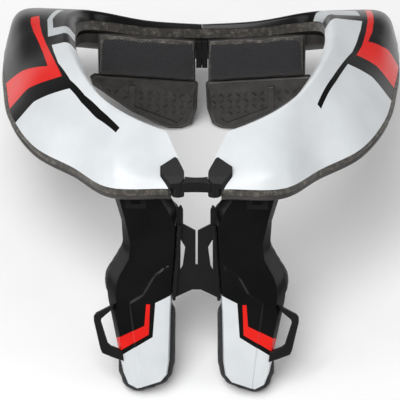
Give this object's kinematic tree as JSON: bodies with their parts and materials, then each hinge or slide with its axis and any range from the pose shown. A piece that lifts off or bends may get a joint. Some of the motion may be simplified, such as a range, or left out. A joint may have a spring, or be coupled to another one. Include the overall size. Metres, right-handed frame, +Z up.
{
  "type": "motocross neck brace",
  "caption": "Worn neck brace: split collar on a rear link, back legs with strap loops, chest pads in front.",
  "frame": {"origin": "on the surface it stands on, under the middle of its box", "axes": "+X to the wearer's right, +Y to the wearer's front, +Z up as it stands on its two leg tips and two chest pads"},
  "size_m": [0.3014, 0.3276, 0.1589],
  "materials": {
    "gloss_shell": "glossy moulded shell with printed black, red and grey bands",
    "foam": "dark fuzzy-faced cushioning foam",
    "grey_base": "matte moulded tray",
    "black_plastic": "fine-textured black moulding",
    "pad_fabric": "dark woven fabric over foam",
    "rubber": "matte moulded rubber"
  },
  "bodies": {
    "center": {"link_bar": "black_plastic", "web": "black_plastic"},
    "left_half": {"shell_left": "gloss_shell", "foam_left": "foam", "base_left": "grey_base", "link_paw_left": "black_plastic", "leg_shell_left": "gloss_shell", "leg_pad_left": "pad_fabric", "leg_lock_left": "black_plastic", "strap_loop_left": "black_plastic", "front_plate_left": "grey_base", "fabric_pad_left": "pad_fabric", "chest_pad_left": "rubber", "closure_left": "black_plastic"},
    "right_half": {"shell_right": "gloss_shell", "foam_right": "foam", "base_right": "grey_base", "link_paw_right": "black_plastic", "leg_shell_right": "gloss_shell", "leg_pad_right": "pad_fabric", "leg_lock_right": "black_plastic", "strap_loop_right": "black_plastic", "front_plate_right": "grey_base", "fabric_pad_right": "pad_fabric", "chest_pad_right": "rubber", "closure_right": "black_plastic"}
  },
  "joints": [
    {"name": "left_hinge", "type": "hinge", "parent": "center", "child": "left_half", "pos_m": [-0.0122, -0.09092, 0.13872], "axis": [0, 0.4355, 0.9002], "range_deg": [0, 22]},
    {"name": "right_hinge", "type": "hinge", "parent": "center", "child": "right_half", "pos_m": [0.0122, -0.09092, 0.13872], "axis": [0, -0.4355, -0.9002], "range_deg": [0, 22]}
  ]
}
